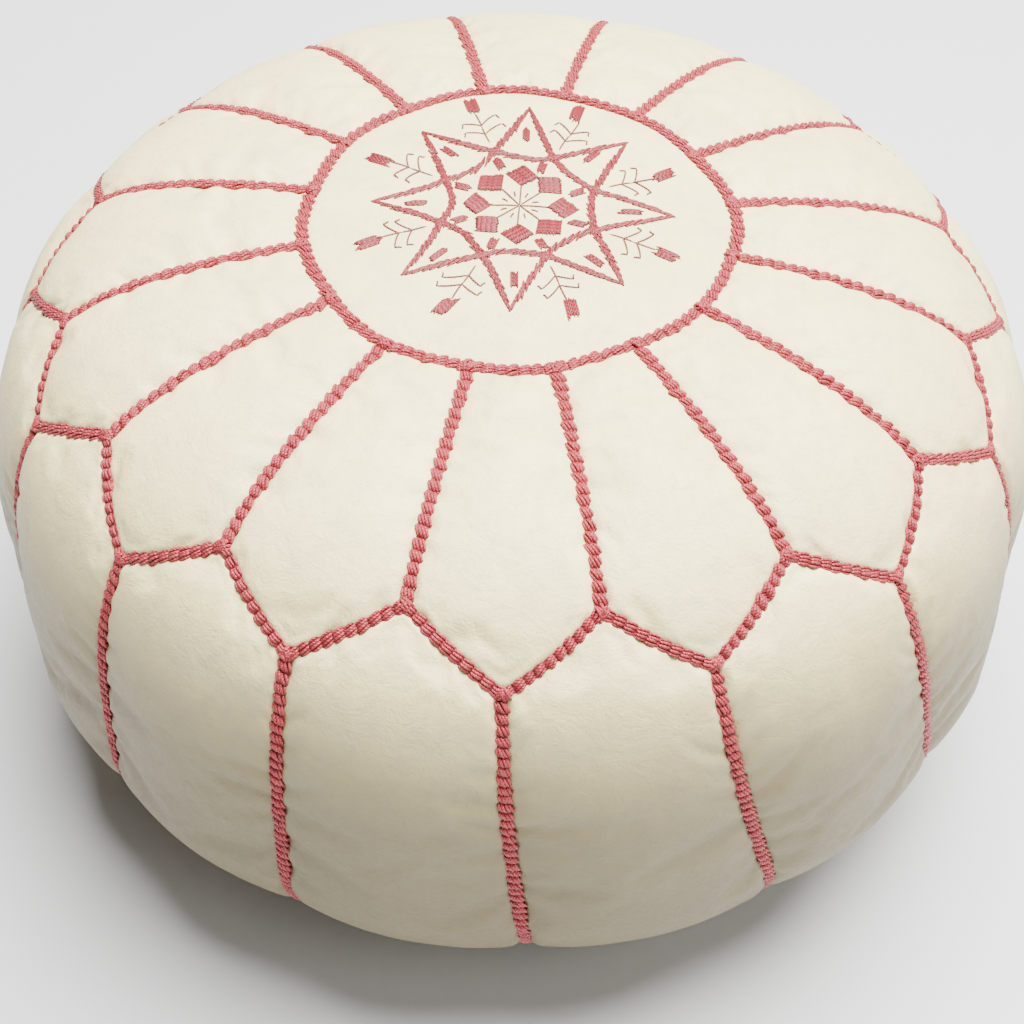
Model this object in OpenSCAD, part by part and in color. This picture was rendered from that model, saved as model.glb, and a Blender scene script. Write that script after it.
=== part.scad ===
// Round leather pouf: a stuffed cover of sixteen-sided symmetry with braided seams,
// an embroidered medallion on top and a zip in a recess of the base.
// Origin: centre of the flat base, on the floor. +Z is up, the front is -Y.

/* [Cover] */
// Diameter at the widest line
pouf_d = 530; // [500:5:560]
// Height from the floor to the flat crown
pouf_h = 325; // [310:5:345]
// Height of the widest line above the floor
belly_z = 120; // [110:5:130]
// Radius of the flat contact area under the base
base_r = 144; // [142:1:150]
// Thickness of the leather
leather_t = 1.6; // [1.2:0.1:2]
// Thickness of the cotton lining
lining_t = 0.6; // [0.4:0.1:1]

/* [Panels] */
// Radius of the seam around the medallion
ring_r = 103.5; // [100:0.5:112]
// Radius at which the spokes end, where two petals part
notch_r = 218.5; // [212:0.5:224]
// Radius of the petals' pointed tips
tip_r = 242.5; // [238:0.5:248]
// Radius of the seam around the base disc
base_seam_r = 165; // [162:0.5:170]

/* [Braid] */
// Width of a braided seam
braid_w = 7.5; // [6:0.5:9]
// Height of a braided seam above the leather
braid_h = 2.4; // [1.5:0.1:3]

/* [Embroidery] */
// Height of the satin stitches above the leather
thread_h = 0.8; // [0.5:0.1:1.2]
// Radius of the star's points
star_r = 72; // [66:1:76]
// Radius at which the sprigs between the points end
sprig_r = 84; // [80:1:86]

/* [Zip] */
// Half length of the straight part of the recess
recess_half = 118; // [112:1:118]
// Depth of the recess
recess_depth = 9; // [8.5:0.5:10]
// Half length of the rows of teeth
teeth_half = 108; // [90:1:108]
// Distance from tooth to tooth
tooth_pitch = 3; // [2.5:0.1:4]
// Length of the pull from its pivot to its end
pull_len = 24; // [18:1:24]

/* [Hidden] */
PANELS = 16;
STEP = 360 / PANELS;
function numbered(name) = [for (i = [1:PANELS]) str(name, i < 10 ? "_0" : "_", i)];
PETALS = numbered("upper_petal");
SIDES = numbered("side_panel");

LEATHER = [0.91, 0.89, 0.80];
THREAD = [0.80, 0.42, 0.48];
COTTON = [0.93, 0.91, 0.86];
BRASS = [0.72, 0.58, 0.32];
FAR = 400;

pouf_r = pouf_d / 2;
crown_h = pouf_h - belly_z;
crown_r = 90;       // radius of the flat crown that carries the embroidery
crown_n = 3.9;      // squareness of the profile above the widest line
under_n = 1.7;      // squareness of the profile below it
lining_in = leather_t + lining_t;

// ---- profile of the cover ----
// Centre, half width, half height and squareness of the arc at angle a (0 is the widest line)
function arc_centre(a) = a >= 0 ? 0 : base_r;
function arc_w(a) = a >= 0 ? pouf_r : pouf_r - base_r;
function arc_h(a) = a >= 0 ? crown_h : belly_z;
function arc_n(a) = a >= 0 ? crown_n : under_n;

// Point of the cover at angle a, lifted off the leather's outer face
function skin(a, lift = 0) =
    let (w = arc_w(a), h = arc_h(a), n = arc_n(a))
    let (c = max(cos(a), 0), s = abs(sin(a)))
    let (rho = pow(pow(c / w, n) + pow(s / h, n), -1 / n))
    let (x = rho * c, z = rho * s)
    let (slope = [pow(x / w, n - 1) / w, pow(z / h, n - 1) / h])
    let (out = slope / norm(slope))
    [arc_centre(a) + x + lift * out[0], belly_z + sign(a) * (z + lift * out[1])];

// Angle at which the cover has radius r, above and below the widest line
function over_angle(r) =
    atan2(crown_h * pow(1 - pow(r / pouf_r, crown_n), 1 / crown_n), r);
function under_angle(r) =
    let (x = r - base_r, w = pouf_r - base_r)
    -atan2(belly_z * pow(1 - pow(x / w, under_n), 1 / under_n), x);

function spread(a, b, n) = [for (i = [0:n]) a + (b - a) * i / n];
function back(list) = [for (i = [len(list) - 1:-1:0]) list[i]];

half_w = braid_w / 2;
ring_cut = [over_angle(ring_r - half_w), over_angle(ring_r), over_angle(ring_r + half_w)];
base_cut = [
    under_angle(base_seam_r + half_w),
    under_angle(base_seam_r),
    under_angle(base_seam_r - half_w)
];
upper_cut = spread(ring_cut[2], 0, 12);
lower_cut = spread(0, base_cut[0], 9);
wall_cut = concat(upper_cut, [for (i = [1:9]) lower_cut[i]]);
under_cut = concat([base_cut[2]], [-86], [-90]);

// ---- building blocks ----
// A closed band of the cover between two heights above the leather
module skin_band(angles, low, high) {
    rotate_extrude($fn = 96)
        polygon(concat([for (a = angles) skin(a, high)], back([for (a = angles) skin(a, low)])));
}

// Half section of everything inside a depth below the leather's outer face
function inside(depth) = concat(
    [[0, pouf_h - depth], [crown_r, pouf_h - depth]],
    [for (a = concat([ring_cut[0], ring_cut[1]], wall_cut)) skin(a, -depth)],
    [for (a = concat([base_cut[1]], under_cut)) skin(a, -depth)],
    [[0, depth]]
);

// Plan of the sixteen petals together, a star whose notches are the spokes' ends
function turned(r, a) = [r * cos(a), r * sin(a)];
module petal_star(grow = 1) {
    translate([0, 0, belly_z])
        linear_extrude(FAR)
            scale(grow)
                polygon([
                    for (i = [0:PANELS - 1], half = [0, 1])
                        turned(half ? notch_r : tip_r, (i + half / 2) * STEP)
                ]);
}

// Wedge of one panel about direction a
module wedge(a) {
    rotate(a)
        translate([0, 0, -1])
            linear_extrude(FAR)
                polygon([[0, 0], turned(FAR, -STEP / 2), turned(FAR, STEP / 2)]);
}

// Upright slabs along sixteen radial seams
module seam_slabs(first) {
    for (i = [0:PANELS - 1])
        rotate(first + i * STEP)
            translate([0, -half_w, -1])
                cube([FAR, braid_w, FAR]);
}

// ---- leather ----
module top_medallion() {
    top = concat([[0, pouf_h], [crown_r, pouf_h]], [for (i = [0, 1]) skin(ring_cut[i])]);
    low = concat(
        [for (i = [1, 0]) skin(ring_cut[i], -leather_t)],
        [[crown_r, pouf_h - leather_t], [0, pouf_h - leather_t]]
    );
    color(LEATHER)
        rotate_extrude($fn = 96)
            polygon(concat(top, low));
}

module upper_petal(i) {
    color(LEATHER)
        intersection() {
            skin_band(concat([ring_cut[1]], upper_cut), -leather_t, 0);
            petal_star();
            wedge(i * STEP);
        }
}

module side_panel(i) {
    color(LEATHER)
        difference() {
            intersection() {
                skin_band(concat(wall_cut, [base_cut[1]]), -leather_t, 0);
                wedge((i + 0.5) * STEP);
            }
            petal_star();
        }
}

// ---- base and zip recess ----
rim_in = 8;         // half width of the slot between the leather edges
rim_out = 13;       // where the rim starts to slope down to the floor
recess_out = 26;    // half width of the recess at the floor
rim_z = recess_depth;

// Height of the leather at distance s from the zip's middle line
function recess_z(s) =
    s <= rim_out ? rim_z : rim_z * (1 + cos(180 * (s - rim_out) / (recess_out - rim_out))) / 2;

// Section of a sheet that lines the recess from distance s0 out to its foot
function lip(s0, low, high) =
    let (s = [for (x = concat([rim_in], spread(rim_out, recess_out, 7))) if (x >= s0) x])
    concat([for (x = s) [x, recess_z(x) + high]], back([for (x = s) [x, recess_z(x) + low]]));

// The sheet itself, around both sides and both ends of the zip
module recess_lip(s0, low, high) {
    for (side = [0, 1])
        mirror([side, 0, 0]) {
            translate([recess_half, 0, 0])
                rotate(-90)
                    rotate_extrude(angle = 180, $fn = 64)
                        polygon(lip(s0, low, high));
            rotate(side * 180)
                translate([-recess_half, 0, 0])
                    rotate([90, 0, 90])
                        linear_extrude(2 * recess_half)
                            polygon(lip(s0, low, high));
        }
}

// Upright prism with the outline of the recess at distance s
module recess_prism(s, low, high) {
    translate([0, 0, low])
        linear_extrude(high - low)
            union() {
                square([2 * recess_half, 2 * s], center = true);
                for (side = [-1, 1])
                    translate([side * recess_half, 0])
                        circle(s, $fn = 64);
            }
}

// side is 1 for +Y and -1 for -Y
module half_space(side) {
    translate([-FAR / 2, side > 0 ? 0 : -FAR, -1])
        cube([FAR, FAR, FAR]);
}

module base_half(side) {
    outer = concat([[0, 0]], back([for (a = concat([base_cut[1]], under_cut)) skin(a)]));
    inner = concat(
        [for (a = concat([base_cut[1]], under_cut)) skin(a, -leather_t)],
        [[0, leather_t]]
    );
    color(LEATHER)
        intersection() {
            union() {
                difference() {
                    rotate_extrude($fn = 96)
                        polygon(concat(outer, inner));
                    recess_prism(recess_out, -1, leather_t + 1);
                }
                recess_lip(rim_in, 0, leather_t);
            }
            half_space(side);
        }
}

// ---- seams ----
BAND_IN = 0.989;    // the zigzag braid runs between two copies of the petal star
BAND_OUT = 1.011;

module seam_medallion() {
    color(THREAD)
        skin_band(ring_cut, 0, braid_h);
}

module seam_spokes() {
    color(THREAD)
        intersection() {
            skin_band(upper_cut, 0, braid_h);
            seam_slabs(STEP / 2);
            petal_star(BAND_IN);
        }
}

module seam_zigzag() {
    color(THREAD)
        difference() {
            intersection() {
                skin_band(upper_cut, 0, braid_h);
                petal_star(BAND_OUT);
            }
            petal_star(BAND_IN);
        }
}

module seam_sides() {
    color(THREAD)
        difference() {
            intersection() {
                skin_band(wall_cut, 0, braid_h);
                seam_slabs(0);
            }
            petal_star(BAND_OUT);
        }
}

module seam_base() {
    color(THREAD)
        skin_band(base_cut, 0, braid_h);
}

// ---- embroidery ----
star_waist = 32.5;  // how far the star's sides bow in between two points
star_line = 2.4;

function star_points(r, waist) =
    [for (i = [0:7]) turned(i % 2 == 0 ? r : waist, i * 45)];

// Outline of one four-pointed star with bowed-in sides
module star_outline() {
    difference() {
        polygon(star_points(star_r, star_waist));
        polygon(star_points(star_r - 3.4 * star_line, star_waist - star_line));
    }
}

// A stitch from radius r0 to radius r1
module stitch(r0, r1, w) {
    translate([r0, -w / 2])
        square([r1 - r0, w]);
}

module diamond(r0, r1, w) {
    mid = (r0 + r1) / 2;
    polygon([[r0, 0], [mid, -w / 2], [r1, 0], [mid, w / 2]]);
}

// Stem with two pairs of barbs and a square bud
module sprig() {
    stitch(48, sprig_r - 12, 1.4);
    for (r = [56, 64], side = [-1, 1])
        translate([r, 0])
            rotate(side * 52)
                stitch(0, 10, 1.4);
    stitch(sprig_r - 11, sprig_r, 6);
}

module embroidery() {
    color(THREAD)
        translate([0, 0, pouf_h])
            linear_extrude(thread_h)
                union() {
                    star_outline();
                    rotate(45)
                        star_outline();
                    for (i = [0:7])
                        rotate(i * 45) {
                            diamond(14, 27.5, 9);
                            stitch(5, 12, 1.2);
                            stitch(46, 55, 2.4);
                            rotate(22.5) {
                                stitch(30, 35, 2.4);
                                sprig();
                            }
                        }
                }
}

// ---- inside ----
module lining() {
    color(COTTON)
        union() {
            difference() {
                rotate_extrude($fn = 96)
                    polygon(inside(leather_t));
                rotate_extrude($fn = 96)
                    polygon(inside(lining_in));
                recess_prism(recess_out, -1, lining_in + 1);
            }
            recess_lip(rim_out + 1, leather_t, lining_in);
        }
}

module filling() {
    color(COTTON)
        difference() {
            rotate_extrude($fn = 96)
                polygon(inside(lining_in));
            recess_prism(recess_out, -1, slide_top + 2);
        }
}

// ---- zip ----
tape_t = 0.6;
tape_z = rim_z + leather_t;
tooth_in = 0.7;     // gap from the zip's middle line to the teeth
tooth_out = 3.6;
tooth_h = 3.2;
tooth_mid = tape_z + tape_t / 2;
plate_gap = 0.6;    // play between the slider's plates and the teeth
plate_t = 1.4;
plate_low = tooth_mid - tooth_h / 2 - plate_gap - plate_t;
plate_high = tooth_mid + tooth_h / 2 + plate_gap;
slide_top = plate_high + plate_t;
slider_half = 6;
slider_y = 5;
stop_l = 2.5;
slider_x = -teeth_half - 0.8 + slider_half + 0.6;
pivot_z = plate_low - 1.3;

module zip_tape(side) {
    color(COTTON)
        translate([-recess_half - 6, side > 0 ? tooth_out : -rim_out + 0.5, tape_z])
            cube([2 * recess_half + 12, rim_out - 0.5 - tooth_out, tape_t]);
}

module zip_teeth(side) {
    count = floor(2 * teeth_half / tooth_pitch) - 1;
    offset_x = side > 0 ? 0 : tooth_pitch / 2;
    color(BRASS)
        for (i = [0:count])
            translate([
                offset_x - teeth_half + i * tooth_pitch,
                side > 0 ? tooth_in : -tooth_out,
                tooth_mid - tooth_h / 2
            ])
                cube([tooth_pitch * 0.5, tooth_out - tooth_in, tooth_h]);
}

module zip_stops() {
    color(BRASS)
        for (side = [-1, 1])
            translate([side * (teeth_half + 0.8 + stop_l / 2), 0, tooth_mid])
                cube([stop_l, 2 * tooth_out, 2.6], center = true);
}

module zip_slider() {
    arch_w = 2.4;
    arch_leg = 1.2;
    arch_half = 4.2;
    flange_t = 0.9;
    color(BRASS)
        translate([slider_x, 0, 0])
            union() {
                for (z = [plate_low, plate_high])
                    translate([-slider_half, -slider_y, z])
                        cube([2 * slider_half, 2 * slider_y, plate_t]);
                // post that parts the two rows of teeth
                translate([-4, -0.3, plate_low])
                    cube([8, 0.6, plate_high - plate_low + plate_t]);
                // flanges that stop short of the tape
                for (side = [0, 1])
                    mirror([0, side, 0]) {
                        translate([-slider_half, slider_y - flange_t, plate_low])
                            cube([2 * slider_half, flange_t, tape_z - 0.4 - plate_low]);
                        translate([-slider_half, slider_y - flange_t, tape_z + tape_t + 0.4])
                            cube([2 * slider_half, flange_t, slide_top - tape_z - tape_t - 0.4]);
                    }
                // arch that holds the pull
                for (side = [0, 1])
                    mirror([side, 0, 0])
                        translate([arch_half - arch_leg, -arch_w / 2, pivot_z - 2.2])
                            cube([arch_leg, arch_w, plate_low - pivot_z + 2.4]);
                translate([-arch_half, -arch_w / 2, pivot_z - 2.2])
                    cube([2 * arch_half, arch_w, 1]);
            }
}

module zip_pull() {
    pull_t = 1.2;
    arm_in = 1.7;
    arm_out = 3;
    tab_w = 7.6;
    tab_start = 7;
    color(BRASS)
        translate([slider_x, 0, pivot_z])
            union() {
                rotate([90, 0, 0])
                    cylinder(r = 0.7, h = 2 * arm_out, center = true, $fn = 24);
                for (side = [0, 1])
                    mirror([0, side, 0])
                        translate([0, arm_in, -pull_t / 2])
                            cube([tab_start + 1, arm_out - arm_in, pull_t]);
                translate([tab_start, -tab_w / 2, -pull_t / 2])
                    cube([pull_len - tab_start - tab_w / 2, tab_w, pull_t]);
                translate([pull_len - tab_w / 2, 0, 0])
                    cylinder(d = tab_w, h = pull_t, center = true, $fn = 48);
            }
}

top_medallion();
for (i = [0:PANELS - 1]) {
    upper_petal(i);
    side_panel(i);
}
base_half(1);  // base_half_left
base_half(-1);  // base_half_right
seam_medallion();
seam_spokes();
seam_zigzag();
seam_sides();
seam_base();
embroidery();
lining();
filling();
zip_tape(1);  // zip_tape_left
zip_tape(-1);  // zip_tape_right
zip_teeth(1);  // zip_teeth_left
zip_teeth(-1);  // zip_teeth_right
zip_stops();
zip_slider();
zip_pull();
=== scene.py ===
"""The looks of a round leather pouf: stuffed panels, plaited seams, embroidery and a zip."""
import math

import bpy
import numpy as np
from mathutils import Matrix, Vector


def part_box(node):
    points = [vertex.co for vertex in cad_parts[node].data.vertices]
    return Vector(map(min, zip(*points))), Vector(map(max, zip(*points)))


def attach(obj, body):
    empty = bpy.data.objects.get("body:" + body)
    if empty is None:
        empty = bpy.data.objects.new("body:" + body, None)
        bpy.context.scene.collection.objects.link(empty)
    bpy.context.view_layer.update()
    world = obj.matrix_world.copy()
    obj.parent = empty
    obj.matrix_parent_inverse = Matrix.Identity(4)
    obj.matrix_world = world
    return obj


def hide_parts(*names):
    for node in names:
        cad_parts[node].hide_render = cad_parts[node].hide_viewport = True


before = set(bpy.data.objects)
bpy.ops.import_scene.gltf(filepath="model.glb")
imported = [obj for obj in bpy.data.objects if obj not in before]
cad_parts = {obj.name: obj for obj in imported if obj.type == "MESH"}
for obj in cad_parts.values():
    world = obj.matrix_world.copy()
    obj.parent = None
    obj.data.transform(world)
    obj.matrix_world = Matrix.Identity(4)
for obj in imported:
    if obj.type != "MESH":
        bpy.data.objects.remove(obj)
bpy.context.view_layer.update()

# ---- sizes of the cover, in metres ----
PANELS = 16
STEP = 2 * math.pi / PANELS
POUF_R = 0.265          # radius at the widest line
BELLY_Z = 0.120         # height of the widest line
CROWN_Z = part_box("top_medallion")[1][2]
BASE_R = 0.144          # radius of the flat contact area
CROWN_N = 3.9           # squareness of the profile above the widest line
UNDER_N = 1.7           # squareness of the profile below it
RING_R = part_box("top_medallion")[1][0]
NOTCH_R = 0.2185        # where the spokes end
TIP_R = 0.2425          # the petals' points
BASE_SEAM_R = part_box("base_half_left")[1][0]
LEATHER_T = 0.0016
VALLEY = -0.0015        # how far the seams pull the cover in
FLOOR_GAP = 0.0006      # least height of the cover's leather above the floor

# ---- helpers ----


def smooth(x):
    """A soft step from 0 at 0 to 1 at 1."""
    x = np.clip(x, 0, 1)
    return x * x * (3 - 2 * x)


def noise(points, size, seed):
    """Smooth noise from -1 to 1 at (n, 3) points, with blobs about size across."""
    q = points / size + seed * 7.13
    cell = np.floor(q).astype(np.int64)
    f = q - cell
    f = f * f * f * (f * (f * 6 - 15) + 10)
    total = np.zeros(len(q))
    for corner in np.ndindex(2, 2, 2):
        c = cell + corner
        h = (c[:, 0] * 374761393 + c[:, 1] * 668265263 + c[:, 2] * 974634777 + seed * 1013) & 0xFFFFFFFF
        h = ((h ^ (h >> 13)) * 1274126177) & 0xFFFFFFFF
        h = ((h ^ (h >> 16)) * 2246822519) & 0xFFFFFFFF
        value = (h ^ (h >> 15)) / 2147483648.0 - 1
        weight = np.where(corner, f, 1 - f).prod(axis=1)
        total += value * weight
    return total


def unit(v):
    return v / np.maximum(np.linalg.norm(v, axis=-1, keepdims=True), 1e-12)


# ---- profile of the cover ----


def cover_profile():
    """Arc length from the crown, radius, height and outward normal along the half section."""
    a = np.radians(np.linspace(90, -90, 3001))
    up = a >= 0
    w = np.where(up, POUF_R, POUF_R - BASE_R)
    h = np.where(up, CROWN_Z - BELLY_Z, BELLY_Z)
    n = np.where(up, CROWN_N, UNDER_N)
    c, s = np.clip(np.cos(a), 0, 1), np.abs(np.sin(a))
    rho = ((c / w) ** n + (s / h) ** n) ** (-1 / n)
    x, z = rho * c, rho * s
    normal = unit(np.stack([(x / w) ** (n - 1) / w, np.sign(a) * (z / h) ** (n - 1) / h], axis=1))
    r = x + np.where(up, 0, BASE_R)
    z = BELLY_Z + np.sign(a) * z
    arc = np.concatenate([[0], np.cumsum(np.hypot(np.diff(r), np.diff(z)))])
    return arc, r, z, normal


ARC, ARC_R, ARC_Z, ARC_N = cover_profile()
WAIST = int(np.argmax(ARC_R))


def arc_at(r, upper=True):
    """Arc length at which the cover has radius r."""
    if upper:
        return float(np.interp(r, ARC_R[:WAIST], ARC[:WAIST]))
    return float(np.interp(-r, -ARC_R[WAIST:], ARC[WAIST:]))


S_RING = arc_at(RING_R)
S_NOTCH = arc_at(NOTCH_R)
S_TIP = arc_at(TIP_R)
S_BASE = arc_at(BASE_SEAM_R, upper=False)


def on_cover(theta, s, lift=0.0):
    """Points of the cover at angle theta and arc length s, lifted off its surface.
    A little hand-made unevenness bends every panel and seam together. It dies out at the base:
    turn moves a point round the cover, slip moves it along the profile and swell in or out."""
    theta, s, lift = np.broadcast_arrays(theta, s, lift)
    free = smooth((S_BASE - s) / 0.05)
    turn = smooth(s / 0.06) * (
        0.0060 * np.sin(2 * theta + 0.8) + 0.0050 * np.sin(5 * theta + 2.1 + 9 * s)
        + 0.0035 * np.sin(9 * theta + 0.4 - 14 * s))
    below = np.clip((s - S_TIP) / 0.145, 0, None)
    lean = below ** 1.5 / (1 + (below / 1.3) ** 8) ** 0.1875
    turn = (turn + lean * (0.05 - 0.09 * np.sin(2 * theta))) * free
    slip = free * smooth(s / 0.06) * (
        0.0012 * np.sin(3 * theta + 1.9) + 0.0009 * np.sin(8 * theta + 0.6)
        + 0.0030 * np.sin(theta) * np.exp(-(((s - S_RING) / 0.018) ** 2)))
    swell = free * smooth(s / 0.15) * (
        0.0008 * np.cos(2 * theta + 1.1) - 0.0009 * np.cos(3 * theta - 0.95) - 0.0030)
    s_here = s + slip
    r = np.interp(s_here, ARC, ARC_R)
    z = np.interp(s_here, ARC, ARC_Z)
    nr = np.interp(s_here, ARC, ARC_N[:, 0])
    nz = np.interp(s_here, ARC, ARC_N[:, 1])
    out = lift + swell
    r, z = r + out * nr, z + out * nz
    return np.stack([r * np.cos(theta + turn), r * np.sin(theta + turn), z], axis=-1)


def zigzag_arc(theta):
    """Arc length of the zigzag seam, which runs between the petals' tips and the notches."""
    fold = np.abs((theta / STEP) % 1.0 - 0.5) * 2
    return S_NOTCH + (S_TIP - S_NOTCH) * fold


# ---- meshes ----


def make_mesh(name, verts, quads, material, caps=None, uvs=None, shade=None):
    """A mesh from arrays. caps are extra faces, uvs one pair per corner, shade one value per vertex."""
    me = bpy.data.meshes.new(name)
    groups = [g for g in (quads, caps) if g is not None and len(g)]
    loops = np.concatenate([g.ravel() for g in groups])
    totals = np.concatenate([np.full(len(g), g.shape[1]) for g in groups])
    me.vertices.add(len(verts))
    me.vertices.foreach_set("co", np.ascontiguousarray(verts, dtype=np.float32).ravel())
    me.loops.add(len(loops))
    me.loops.foreach_set("vertex_index", loops.astype(np.int32))
    me.polygons.add(len(totals))
    me.polygons.foreach_set("loop_start", (np.cumsum(totals) - totals).astype(np.int32))
    me.polygons.foreach_set("use_smooth", np.ones(len(totals), dtype=bool))
    if uvs is not None:
        layer = me.uv_layers.new(name="Fibre")
        layer.data.foreach_set("uv", np.ascontiguousarray(uvs, dtype=np.float32).ravel())
    if shade is not None:
        me.attributes.new("shade", "FLOAT", "POINT").data.foreach_set(
            "value", np.ascontiguousarray(shade, dtype=np.float32))
    me.update(calc_edges=True)
    me.validate()
    me.materials.append(material)
    ob = bpy.data.objects.new(name, me)
    bpy.context.scene.collection.objects.link(ob)
    return ob


def grid_faces(rows, cols, loop=False):
    """Quads of a grid of rows by cols points, joined round if loop."""
    i = np.arange(rows - 1)[:, None]
    j = np.arange(cols if loop else cols - 1)[None, :]
    k = (j + 1) % cols
    return np.stack(np.broadcast_arrays(i * cols + j, i * cols + k, (i + 1) * cols + k, (i + 1) * cols + j),
                    axis=-1).reshape(-1, 4)


def slab_faces(rows, cols):
    """Quads of a closed slab: a grid, an equal grid under it and the rim between them."""
    under = rows * cols
    top = grid_faces(rows, cols)
    edge = np.concatenate([
        np.arange(cols), np.arange(1, rows) * cols + cols - 1,
        (rows - 1) * cols + np.arange(cols - 2, -1, -1), np.arange(rows - 2, 0, -1) * cols])
    after = np.roll(edge, -1)
    rim = np.stack([edge, edge + under, after + under, after], axis=1)
    return np.concatenate([top, top[:, ::-1] + under, rim])


def grid_normals(p):
    """Unit normals of a (rows, cols, 3) grid of points."""
    return unit(np.cross(np.gradient(p, axis=0), np.gradient(p, axis=1)))


def leather_shell(name, outer, flip=False):
    """A closed sheet of leather under a (rows, cols, 3) grid of outer points. flip is for grids that
    run the other way round."""
    inner = outer - grid_normals(outer) * (-1 if flip else 1) * LEATHER_T
    verts = np.concatenate([outer.reshape(-1, 3), inner.reshape(-1, 3)])
    quads = slab_faces(*outer.shape[:2])
    return make_mesh(name, verts, quads if flip else quads[:, ::-1], LEATHER)


END_TAPER = 0.55        # thickness of a thread's ends


def tubes(name, paths, up, radius, material, sides=6, flat=1.0, shade=None):
    """Threads as one mesh. paths and up are (threads, points, 3), and radius is one value per thread.
    The UV map holds the millimetres along each thread and the share of a turn round it."""
    count, length, _ = paths.shape
    run = unit(np.gradient(paths, axis=1))
    side = unit(np.cross(run, up))
    rise = np.cross(side, run)
    turn = np.arange(sides) / sides * 2 * math.pi - math.pi / 2
    radius = np.broadcast_to(np.asarray(radius, dtype=float), (count,))
    taper = np.ones(length)
    taper[[0, -1]] = END_TAPER
    size = radius[:, None, None, None] * taper[None, :, None, None]
    ring = (side[:, :, None] * np.cos(turn)[None, None, :, None]
            + rise[:, :, None] * np.sin(turn)[None, None, :, None] * flat)
    verts = (paths[:, :, None] + ring * size).reshape(-1, 3)
    first = np.arange(count)[:, None, None] * length * sides
    i = np.arange(length - 1)[None, :, None] * sides
    j = np.arange(sides)[None, None, :]
    k = (j + 1) % sides
    quads = np.stack(np.broadcast_arrays(
        first + i + j, first + i + sides + j, first + i + sides + k, first + i + k), axis=-1).reshape(-1, 4)
    head = first[:, 0, :1] + np.arange(sides)
    tail = first[:, 0, :1] + (length - 1) * sides + np.arange(sides)[::-1]
    step = np.linalg.norm(np.diff(paths, axis=1), axis=2)
    dist = np.concatenate([np.zeros((count, 1)), np.cumsum(step, axis=1)], axis=1) * 1000
    u0, u1 = dist[:, :-1, None], dist[:, 1:, None]
    v0, v1 = j / sides, (j + 1) / sides
    corners = [(u0, v0), (u1, v0), (u1, v1), (u0, v1)]
    uvs = np.stack([np.stack(np.broadcast_arrays(u, v), axis=-1) for u, v in corners], axis=-2).reshape(-1, 2)
    uvs = np.concatenate([uvs, np.zeros((2 * count * sides, 2))])
    if shade is not None and shade.ndim == 1:
        shade = np.repeat(shade[:, None], length, axis=1)
    tint = None if shade is None else np.repeat(shade.ravel(), sides)
    return make_mesh(name, verts, quads, material, np.concatenate([head, tail]), uvs, tint)


# ---- materials ----


class Shader:
    """A material under construction, with short calls for its nodes."""

    def __init__(self, name, **sockets):
        self.mat = bpy.data.materials.new(name)
        self.mat.use_nodes = True
        self.nodes = self.mat.node_tree.nodes
        self.links = self.mat.node_tree.links
        self.bsdf = self.nodes["Principled BSDF"]
        for socket, value in sockets.items():
            self.bsdf.inputs[socket.replace("_", " ")].default_value = value

    def link(self, a, b):
        self.links.new(a, b)

    def node(self, kind, inputs=None, **settings):
        n = self.nodes.new(kind)
        for key, value in settings.items():
            setattr(n, key, value)
        for key, value in (inputs or {}).items():
            if isinstance(value, bpy.types.NodeSocket):
                self.link(value, n.inputs[key])
            else:
                n.inputs[key].default_value = value
        return n

    def place(self):
        """Object coordinates in millimetres."""
        co = self.node("ShaderNodeTexCoord").outputs["Object"]
        return self.node("ShaderNodeVectorMath", {0: co, "Scale": 1000}, operation="SCALE").outputs["Vector"]

    def height(self):
        """Height above the floor in metres."""
        co = self.node("ShaderNodeTexCoord").outputs["Object"]
        return self.node("ShaderNodeSeparateXYZ", {0: co}).outputs[2]

    def noise(self, where, scale, detail=2.0, roughness=0.5, distortion=0.0):
        return self.node("ShaderNodeTexNoise", {
            "Vector": where, "Scale": scale, "Detail": detail, "Roughness": roughness,
            "Distortion": distortion}).outputs["Fac"]

    def ramp(self, fac, stops):
        n = self.node("ShaderNodeValToRGB", {"Fac": fac})
        elements = n.color_ramp.elements
        while len(elements) < len(stops):
            elements.new(0.5)
        for e, (at, value) in zip(elements, stops):
            e.position = at
            e.color = value if hasattr(value, "__len__") else (value, value, value, 1)
        return n.outputs["Color"]

    def mix(self, fac, a, b, blend="MIX"):
        n = self.node("ShaderNodeMix", data_type="RGBA", blend_type=blend)
        for socket, value in ((n.inputs[0], fac), (n.inputs[6], a), (n.inputs[7], b)):
            if isinstance(value, bpy.types.NodeSocket):
                self.link(value, socket)
            else:
                socket.default_value = value
        return n.outputs[2]

    def math(self, operation, a, b=0.0):
        return self.node("ShaderNodeMath", {0: a, 1: b}, operation=operation).outputs[0]

    def bump(self, height, distance, strength=1.0, normal=None):
        n = self.node("ShaderNodeBump", {"Height": height, "Distance": distance, "Strength": strength})
        if normal is not None:
            self.link(normal, n.inputs["Normal"])
        return n.outputs["Normal"]


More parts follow.
